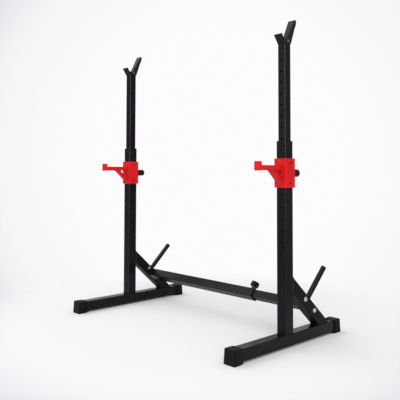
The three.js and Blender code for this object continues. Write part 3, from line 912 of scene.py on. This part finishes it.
def brace_place(place):
    """U is across, V is out of the brace's top face, W runs down the brace."""
    turn = turned(-math.pi / 2 - BRACE_ANGLE, "X")
    return place @ at(0, CROSSBAR_SETBACK, CROSSBAR_HEIGHT) @ turn


def brace_ends():
    """Levels along the brace at which it meets the upright's rear face and the beam's top."""
    slope = math.tan(BRACE_ANGLE)
    ahead = CROSSBAR_SETBACK - HALF_FRAME - GAP
    above = CROSSBAR_HEIGHT - BASE_TOP - GAP
    start = lambda u, v: -ahead / math.cos(BRACE_ANGLE) + v * slope
    end = lambda u, v: above / math.sin(BRACE_ANGLE) - v / slope
    return start, end


def peg_place(place):
    tilt = turned(PEG_ANGLE - math.pi / 2, "X")
    return place @ at(0, PEG_SETBACK, brace_axis(PEG_SETBACK) + BRACE_RISE) @ tilt


def peg_foot(gap):
    """The level at which the peg meets the brace's top face."""
    lean = math.pi / 2 - PEG_ANGLE - BRACE_ANGLE
    return lambda u, v: gap / math.cos(lean) + v * math.tan(lean)


def peg(place):
    """A round tube whose foot is cut along the brace's top face."""
    foot = peg_foot(GAP)
    bore = PEG_RADIUS - PEG_WALL
    rings = [
        lifted(circle(bore), raised(foot, EDGE), place),
        lifted(circle(PEG_RADIUS), foot, place),
        lifted(circle(PEG_RADIUS), PEG_LENGTH - EDGE, place),
        lifted(circle(PEG_RADIUS - EDGE), PEG_LENGTH, place),
        lifted(circle(bore), PEG_LENGTH, place),
    ]
    return loft(rings, hollow=True)


def peg_end(place):
    top = PEG_LENGTH + GAP
    plug = PEG_RADIUS - PEG_WALL - GAP
    plug_end = top - 3 * PEG_CAP
    ledge = PEG_CAP / 3
    profile = [(plug - EDGE, plug_end), (plug, plug_end + EDGE), (plug, top)]
    profile += [(PEG_RADIUS - EDGE, top), (PEG_RADIUS, top + EDGE)]
    profile += dome(PEG_RADIUS, top + ledge, PEG_CAP - ledge)
    return lathe(place, profile)


def stand_welds(place):
    edge = outline(FRAME_SECTION)
    beads = [bead(lifted(edge, BASE_TOP, place))]
    beads += [bead(lifted(edge, level, brace_place(place))) for level in brace_ends()]
    beads.append(bead(lifted(circle(PEG_RADIUS), peg_foot(0), peg_place(place))))
    return joined(beads)


def stand_bolts(make, place, side):
    seat = HALF_FRAME + GAP
    nut_seat = seat + PLATE_THICKNESS + GAP
    tail = -(seat + nut_seat + NUT_THICKNESS + BOLT_TAIL)
    # The lower nut, below the crossbar, takes the darker zinc as painted shade
    for way, word, look in ((-1, "upper", None), (1, "lower", DIM_ZINC_AND_SHADE)):
        along = way * BOLT_SPACING / 2 - BOLT_SHIFT
        y = CROSSBAR_SETBACK + along * math.cos(BRACE_ANGLE) + BOLT_RISE * math.sin(BRACE_ANGLE)
        z = CROSSBAR_HEIGHT - along * math.sin(BRACE_ANGLE) + BOLT_RISE * math.cos(BRACE_ANGLE)
        head = facing_out(place, side, seat, y, z)
        shell = bolt(head, BOLT_HEAD_RADIUS, BOLT_HEAD_THICKNESS, BOLT_RADIUS, tail)
        make(f"{word}_brace_bolt", shell, ZINC, f"{word}_bolt")
        inward = facing_out(place, -side, nut_seat, y, z)
        shell = nut(inward, NUT_RADIUS, NUT_THICKNESS, BOLT_RADIUS + GAP)
        make(f"{word}_brace_nut", shell, ZINC, f"{word}_nut", look=look)


def stand(side, word):
    make = maker(word, "stand")
    place = stand_place(side)

    reach = FOOT_SPAN / 2 - FOOT_END_WALL - GAP
    along = facing_rear(place @ at(0, UPRIGHT_FORWARD, BASE_BOTTOM + HALF_FRAME))
    make("foot_beam", tube(along, FRAME_SECTION, -reach, reach), BLACK, "base_tube")
    for end, end_word in ((-1, "front"), (1, "rear")):
        make(f"{end_word}_cap", foot_cap(place, end), RUBBER, f"{end_word}_foot")

    holes = through(V_SIDES, levels_down(TOP_HOLE, UPRIGHT_HOLES), HOLE_RADIUS)
    upright = tube(place, FRAME_SECTION, BASE_TOP + GAP, UPRIGHT_TOP, holes)
    make("upright", upright, BLACK, "upright_tube")
    mouth = place @ at(0, 0, UPRIGHT_TOP + GAP)
    guide = collar(mouth, FRAME_SECTION, POST_TUBE, COLLAR_FLANGE, COLLAR_SKIRT)
    make("collar", guide, PLASTIC, "upright_collar")

    brace = tube(brace_place(place), FRAME_SECTION, *brace_ends())
    make("brace", brace, BLACK, "brace_tube", look=SATIN)
    make("peg", peg(peg_place(place)), BLACK, "storage_peg")
    make("peg_end", peg_end(peg_place(place)), PLASTIC, "peg_cap")
    make("stand_welds", stand_welds(place), BLACK)
    stand_bolts(make, place, side)
    make("plate", crossbar_plate(side), BLACK, "crossbar_plate", look=SATIN)


# Post and saddle


def saddle_outline():
    """Points of the side view, each with the radius that rounds its edge towards the side faces."""
    end = CRADLE_FRONT_END - math.pi
    steps = 4 * CORNER_STEPS
    cradle = []
    for step in range(steps + 1):
        angle = -REAR_LEAN + (end + REAR_LEAN) * step / steps
        y = CRADLE_RADIUS * math.cos(angle) - CRADLE_FORWARD
        z = CRADLE_HEIGHT + CRADLE_RADIUS * math.sin(angle)
        share = max(0, math.cos(angle))
        cradle.append(((y, z), 0, SADDLE_EDGE + (PRONG_EDGE_LOW - SADDLE_EDGE) * share))
    low_y, low_z = cradle[0][0]
    rise = REAR_TIP_HEIGHT - low_z
    tip = Vector((low_y + rise * math.tan(REAR_LEAN), REAR_TIP_HEIGHT))
    prong = []
    for step in range(1, PRONG_STEPS):
        share = 1 - step / PRONG_STEPS
        point = (low_y + (tip.x - low_y) * share, low_z + rise * share)
        prong.append((point, 0, PRONG_EDGE_LOW + (PRONG_EDGE_HIGH - PRONG_EDGE_LOW) * share))
    across = Vector((math.cos(REAR_LEAN), -math.sin(REAR_LEAN)))
    tip_back = tip + across * REAR_TIP_THICKNESS
    lip_foot = tip_back - Vector((math.sin(LIP_LEAN), math.cos(LIP_LEAN))) * LIP_LENGTH
    lip_root = lip_foot - Vector((LIP_PROUD, LIP_PROUD))
    shoulder = SADDLE_BASE_HALF + SADDLE_SHOULDER / 2
    base_and_rear = [
        ((-SADDLE_BASE_HALF, GAP), SADDLE_EDGE),
        ((SADDLE_BASE_HALF, GAP), SADDLE_EDGE),
        ((shoulder, SADDLE_SHOULDER), 2 * SADDLE_EDGE),
        (tuple(lip_root), LIP_PROUD),
        (tuple(lip_foot), LIP_PROUD / 2),
        (tuple(tip_back), LIP_PROUD / 2),
        (tuple(tip), SADDLE_EDGE),
    ]
    front = [
        (FRONT_TIP_INNER, SADDLE_EDGE),
        (FRONT_TIP_OUTER, LIP_PROUD / 2),
        ((-shoulder, SADDLE_SHOULDER), 2 * SADDLE_EDGE),
    ]
    plain = lambda corners: [(point, radius, SADDLE_EDGE) for point, radius in corners]
    parts = plain(base_and_rear) + prong + cradle + plain(front)
    points = rounded_polygon([part[0] for part in parts], [part[1] for part in parts])
    edges = []
    for point, radius, edge in parts:
        edges += [edge] * (CORNER_STEPS + 1 if radius else 1)
    return points, edges


def saddle(place):
    """The side view, drawn out to the saddle's width, with edges that round over towards its sides."""
    points, edges = saddle_outline()
    points = [Vector(point) for point in points]
    inward = []
    for index, point in enumerate(points):
        along = (points[(index + 1) % len(points)] - points[index - 1]).normalized()
        inward.append(Vector((-along.y, along.x)))
    half = SADDLE_WIDTH / 2
    stations = [0] + [half * share for share in SADDLE_STATION_SHARES]
    stations += [half - inset for inset, _ in reversed(rounding(SADDLE_EDGE))]
    rings = []
    for x in [-x for x in reversed(stations[1:])] + stations:
        ring = []
        for point, way, edge in zip(points, inward, edges):
            past = max(0, abs(x) - (half - edge))
            spot = point + way * (edge - math.sqrt(max(0, edge * edge - past * past)))
            ring.append(place @ Vector((x, spot.x, spot.y)))
        rings.append(ring)
    return loft(rings)


def post(side, word):
    make = maker(word, "post")
    place = stand_place(side)
    top_hole = TOP_HOLE + POST_HOLES_ABOVE * HOLE_PITCH
    holes = through(V_SIDES, levels_down(top_hole, POST_HOLES), HOLE_RADIUS)
    make("post", tube(place, POST_SECTION, POST_BOTTOM, POST_TOP, holes), BLACK, "post_tube")
    # The saddle's coat is lighter by painted reflection
    make("bar_saddle", saddle(place @ at(0, 0, POST_TOP)), BLACK, "saddle", look=REFLECTION_LIT_COAT)

    seat = SADDLE_WIDTH / 2 + GAP
    spot = (seat, SADDLE_BOLT_SETBACK, POST_TOP + SADDLE_BOLT_HEIGHT)
    tail = -(2 * seat + SADDLE_NUT_THICKNESS + BOLT_TAIL / 2)
    size = (SADDLE_HEAD_RADIUS, SADDLE_HEAD_THICKNESS, SADDLE_BOLT_RADIUS, tail)
    screw = bolt(facing_out(place, side, *spot), *size)
    make("saddle_screw", screw, ZINC, "saddle_bolt", look=DIM_ZINC_AND_SHADE)
    size = (SADDLE_HEAD_RADIUS, SADDLE_NUT_THICKNESS, SADDLE_BOLT_RADIUS + GAP)
    make("saddle_lock_nut", nut(facing_out(place, -side, *spot), *size), ZINC, "saddle_nut")


# Pull pins


def boss(place, radius, length):
    """A drilled boss along W from zero."""
    mouth = PIN_HOLE + EDGE
    profile = [(PIN_HOLE, EDGE), (mouth, 0), (radius, 0), (radius, length - 2 * EDGE)]
    profile += [(radius - 2 * EDGE, length), (mouth, length), (PIN_HOLE, length - EDGE)]
    return lathe(place, profile, hollow=True)


def rod(place, radius, start, end):
    profile = [(radius - 2 * EDGE, start), (radius, start + 2 * EDGE)]
    profile += [(radius, end - EDGE), (radius - EDGE, end)]
    return lathe(place, profile)


def pull_pin(make, place, seat, nose, boss_size, knob_size, travel, flutes=0):
    """A knob and its pin; W points away from the tube, and the boss stands at the seat."""
    radius, length, top = knob_size
    base = seat + boss_size[1] + GAP
    bore = PIN_RADIUS + GAP
    socket = boss_size[0] + PIN_HOLE - PIN_RADIUS
    depth = travel + 2 * GAP
    fluted = lambda turn: radius * (1 - FLUTE_SHARE * (1 - math.cos(flutes * turn)) / 2)
    profile = [(bore, length - KNOB_FLOOR), (bore, depth), (socket, depth)]
    profile += [(socket, 2 * EDGE), (socket + 2 * EDGE, 0)]
    profile += [(radius - inset, near) for inset, near in reversed(rounding(KNOB_RIM))]
    profile += [(fluted, KNOB_RIM + EDGE), (fluted, length - top - EDGE)]
    profile += dome(radius, length - top, top)
    knob = lathe(place @ at(0, 0, base), profile, KNOB_SIDES)
    make("knob", knob, PLASTIC, "pin_knob")
    make("pin", rod(place, PIN_RADIUS, nose, base + length - KNOB_FLOOR - GAP), ZINC, "lock_pin")


# Spotter


def strut_place(place):
    """W runs from the heel on the sleeve to the toe under the arm; gives its ends as well."""
    angle = math.atan2(STRUT_DROP, STRUT_REACH)
    middle_y = -SLEEVE_HALF - STRUT_REACH / 2 + STRUT_THICKNESS / 2 * math.sin(angle)
    middle_z = ARM_ABOVE_CENTRE - STRUT_DROP / 2 + STRUT_THICKNESS / 2 * math.cos(angle)
    heel = middle_y + SLEEVE_HALF + GAP
    toe = ARM_ABOVE_CENTRE - GAP - middle_z
    start = lambda u, v: (heel + v * math.sin(angle)) / math.cos(angle)
    end = lambda u, v: (toe - v * math.cos(angle)) / math.sin(angle)
    return place @ at(0, middle_y, middle_z) @ turned(math.pi / 2 - angle, "X"), start, end


def nub(place, radius, wall):
    """A round nub along W that ends a little proud of the sleeve."""
    end = wall / 2 + GAP + SLEEVE_WALL + NUB_PROUD
    profile = [(radius, 0), (radius, end - 3 * EDGE)]
    profile += [(radius - EDGE, end - EDGE), (radius - 3 * EDGE, end)]
    return lathe(place, profile)


def spotter(side, word):
    make = maker(word, "spotter")
    place = stand_place(side) @ at(0, 0, SLEEVE_CENTRE)
    half = SLEEVE_HEIGHT / 2

    nub_levels = (-NUB_OFFSET, NUB_OFFSET)
    pin_holes = through(V_SIDES, [0], PIN_HOLE)
    holes = pin_holes + through(U_SIDES, nub_levels, NUB_RADIUS + GAP)
    make("sleeve", tube(place, SLEEVE_SECTION, -half, half, holes), RED, "spotter_sleeve")
    outside = SLEEVE_WIDTH - 2 * (SLEEVE_WALL + GAP)
    wall = (outside - FRAME_TUBE) / 2 - GAP
    reach = (outside - wall) / 2
    shells = [tube(place, (outside, outside, wall, FRAME_CORNER), -half, half, pin_holes)]
    for level in nub_levels:
        for way in (-1, 1):
            shells.append(nub(facing_out(place, way, reach, 0, level), NUB_RADIUS, wall))
    make("sleeve_liner", joined(shells), PLASTIC, "spotter_liner")
    plug = nub(facing_front(place @ at(0, -reach, FRONT_PLUG_OFFSET)), FRONT_PLUG_RADIUS, wall)
    make("front_plug", plug, ZINC, look=DIM_ZINC_AND_SHADE)

    front = facing_front(place @ at(0, -SLEEVE_HALF, ARM_ABOVE_CENTRE + ARM_HEIGHT / 2))
    make("arm", tube(front, ARM_SECTION, GAP, ARM_LENGTH - GAP), RED, "spotter_arm")
    stance, start, end = strut_place(place)
    make("strut", tube(stance, STRUT_SECTION, start, end), RED, "spotter_strut")
    stop = front @ at(0, STOP_HEIGHT / 2 - STOP_BELOW_ARM - ARM_HEIGHT / 2, ARM_LENGTH)
    block = slab(stop, STOP_WIDTH, STOP_HEIGHT, STOP_CORNER, STOP_THICKNESS, STOP_ROUND)
    make("end_stop", block, RED, "spotter_end_stop")
    rear = facing_rear(place)
    seat = SLEEVE_HALF + GAP
    make("boss", boss(rear @ at(0, 0, seat), *SPOTTER_BOSS), RED, "pin_boss")

    arm_edge = outline(ARM_SECTION)
    strut_edge = outline(STRUT_SECTION)
    beads = [
        bead(lifted(arm_edge, 0, front), SMALL_BEAD),
        bead(lifted(arm_edge, ARM_LENGTH - GAP, front), SMALL_BEAD / 2),
        bead(lifted(strut_edge, start, stance), SMALL_BEAD),
        bead(lifted(strut_edge, end, stance), SMALL_BEAD),
        bead(lifted(circle(SPOTTER_BOSS[0]), SLEEVE_HALF, rear), SMALL_BEAD),
    ]
    make("spotter_welds", joined(beads), RED)
    size = (HALF_FRAME + PIN_CLEAR, SPOTTER_BOSS, SPOTTER_KNOB, SPOTTER_TRAVEL)
    pull_pin(maker(word, "spotter_pin"), rear, seat, *size)


# Crossbar


def crossbar_place():
    """X runs along the bar, Y down the brace and Z out of the brace's top face."""
    setback = CROSSBAR_SETBACK - UPRIGHT_FORWARD
    return at(0, setback, CROSSBAR_HEIGHT) @ turned(-BRACE_ANGLE, "X")


def along_bar():
    """W runs along the bar."""
    return crossbar_place() @ turned(math.pi / 2, "Y")


def crossbar_plate(side):
    start = PLATE_FACE if side > 0 else -PLATE_FACE - PLATE_THICKNESS
    size = (PLATE_WIDTH, PLATE_LENGTH, PLATE_CORNER, PLATE_THICKNESS, 2 * EDGE)
    return slab(along_bar() @ at(0, 0, start), *size)


def crossbar():
    bar = along_bar()
    hole = [(U_SIDES[0], CROSSBAR_PIN, PIN_HOLE)]
    outer = tube(bar, OUTER_SECTION, GAP - PLATE_FACE, OUTER_TUBE_END, hole)
    made("crossbar_sheath", outer, "left_stand", BLACK, "crossbar_outer_tube")

    steps = range(-HOLES_TO_MIDDLE, HOLES_TO_STAND + 1)
    holes = through(U_SIDES, [CROSSBAR_PIN + step * HOLE_PITCH for step in steps], HOLE_RADIUS)
    end = PLATE_FACE - GAP
    inner = tube(bar, INNER_SECTION, end - INNER_TUBE_LENGTH, end, holes)
    made("crossbar_slider", inner, "right_stand", BLACK, "crossbar_inner_tube")

    mouth = bar @ at(0, 0, OUTER_TUBE_END + GAP)
    bush = collar(mouth, OUTER_SECTION, INNER_TUBE, BUSH_FLANGE, BUSH_SKIRT, BUSH_PROUD)
    # The bush's darkness is partly painted shade at the outer tube's mouth
    made("crossbar_guide", bush, "left_stand", PLASTIC, "crossbar_bush", look=MATTE_AND_SHADE)

    up = crossbar_place() @ at(CROSSBAR_PIN, 0, 0)
    seat = OUTER_TUBE / 2 + GAP
    shell = boss(up @ at(0, 0, seat), *CROSSBAR_BOSS)
    made("crossbar_boss", shell, "left_stand", BLACK, "crossbar_pin_boss", look=GREY)
    size = (INNER_TUBE / 2 + PIN_CLEAR, CROSSBAR_BOSS, CROSSBAR_KNOB, CROSSBAR_TRAVEL)
    pull_pin(maker("crossbar", "pin"), up, seat, *size, KNOB_FLUTES)

    left = bead(lifted(outline(OUTER_SECTION), -PLATE_FACE, bar), SMALL_BEAD)
    foot = bead(lifted(circle(CROSSBAR_BOSS[0]), OUTER_TUBE / 2, up), SMALL_BEAD)
    made("left_crossbar_welds", joined([left, foot]), "left_stand", BLACK)
    right = bead(lifted(outline(INNER_SECTION), PLATE_FACE, bar), SMALL_BEAD)
    made("right_crossbar_welds", right, "right_stand", BLACK)


for stand_side, stand_word in ((-1, "left"), (1, "right")):
    stand(stand_side, stand_word)
    post(stand_side, stand_word)
    spotter(stand_side, stand_word)
    for node_name, slot_name in (("post_plug", BLACK), ("post_glide", PLASTIC)):
        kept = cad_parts[f"{stand_word}_{node_name}"]
        for material_slot in kept.material_slots:
            material_slot.material = FINISHES[slot_name]
crossbar()


# Camera

level_right = Vector((math.cos(CAMERA_YAW), math.sin(CAMERA_YAW), 0))
level_forward = Vector((-math.sin(CAMERA_YAW), math.cos(CAMERA_YAW), 0))
forward = level_forward * math.cos(CAMERA_PITCH) + Vector((0, 0, math.sin(CAMERA_PITCH)))
level_up = level_right.cross(forward)
right = level_right * math.cos(CAMERA_ROLL) + level_up * math.sin(CAMERA_ROLL)
up = level_up * math.cos(CAMERA_ROLL) - level_right * math.sin(CAMERA_ROLL)
camera_data = bpy.data.cameras.new("camera")
camera_data.lens = CAMERA_LENS
camera_data.sensor_width = CAMERA_SENSOR
camera_data.shift_y = CAMERA_SHIFT
camera = added("camera", camera_data)
turn = Matrix((right, up, -forward)).transposed().to_4x4()
camera.matrix_world = Matrix.Translation(CAMERA_PLACE) @ turn
bpy.context.scene.camera = camera
bpy.context.scene.view_settings.view_transform = "Standard"


# Light and backdrop


def backdrop(pool):
    """A pale studio whose brightest patch lies behind the stands; what it lights sees plain grey."""
    world = bpy.data.worlds.new("studio")
    bpy.context.scene.world = world
    world.use_nodes = True
    tree = world.node_tree
    cosine = dot(tree, add(tree, "TexCoord").outputs["Generated"], pool)
    share = mapped(tree, cosine, (-1, 1), (0, 1))
    stops = [((1 + level) / 2, colour) for level, colour in STUDIO_LEVELS]
    studio = ramp(tree, share, stops, "EASE")
    rays = add(tree, "LightPath").outputs
    seen = reckoned(tree, "ADD", rays["Is Camera Ray"], rays["Is Glossy Ray"])
    seen = reckoned(tree, "ADD", seen, rays["Is Transmission Ray"], use_clamp=True)
    grey = (ROOM_LIGHT, ROOM_LIGHT, ROOM_LIGHT, 1)
    mix = add(tree, "Mix", {"Factor": seen, "A": grey, "B": studio}, data_type="RGBA")
    feed(tree, tree.nodes["Background"], {"Color": mix.outputs["Result"]})


def floor():
    """A pale floor that keeps the stands' shadow and fades into the studio."""
    mesh = bpy.data.meshes.new("floor")
    mesh.from_pydata([(u, v, 0) for u, v in circle(FLOOR_RADIUS)], [], [range(ROUND_SIDES)])
    material, tree, shader = node_tree("studio floor")
    tree.nodes.remove(shader)
    paint = add(tree, "BsdfDiffuse", {"Color": (*FLOOR_COLOUR, 1)}).outputs["BSDF"]
    clear = add(tree, "BsdfTransparent").outputs["BSDF"]
    place = add(tree, "TexCoord").outputs["Object"]
    distance = add(tree, "VectorMath", {0: place}, operation="LENGTH").outputs["Value"]
    fade = mapped(tree, distance, (FLOOR_CORE, FLOOR_RADIUS), (1, 0), "SMOOTHERSTEP")
    mix = add(tree, "MixShader", {"Fac": fade, 1: clear, 2: paint}).outputs["Shader"]
    feed(tree, tree.nodes["Material Output"], {"Surface": mix})
    mesh.materials.append(material)
    added("floor", mesh)


def lamp(name, kind, away, **settings):
    """A light that shines back along the direction away from the stands."""
    data = bpy.data.lights.new(name, kind)
    for key, value in settings.items():
        setattr(data, key, value)
    light = added(name, data)
    light.rotation_euler = away.to_track_quat("Z", "Y").to_euler()
    return light


def soft_light(name, azimuth, distance, rise, width, height, power):
    place = Vector((math.cos(azimuth) * distance, math.sin(azimuth) * distance, rise))
    size = {"shape": "RECTANGLE", "size": width, "size_y": height}
    light = lamp(name, "AREA", place - LIGHT_AIM, energy=power, **size)
    light.location = place


def skylight():
    """A broad soft light from above, as even over the floor as over the stands."""
    level = Vector((math.cos(SKY_AZIMUTH), math.sin(SKY_AZIMUTH), 0)) * math.cos(SKY_ELEVATION)
    away = level + Vector((0, 0, math.sin(SKY_ELEVATION)))
    lamp("skylight", "SUN", away, angle=SKY_SPREAD, energy=SKY_POWER)


backdrop((forward + right * POOL_RIGHT + up * POOL_UP).normalized())
floor()
for light_name, light_values in LIGHTS.items():
    soft_light(light_name, *light_values)
skylight()
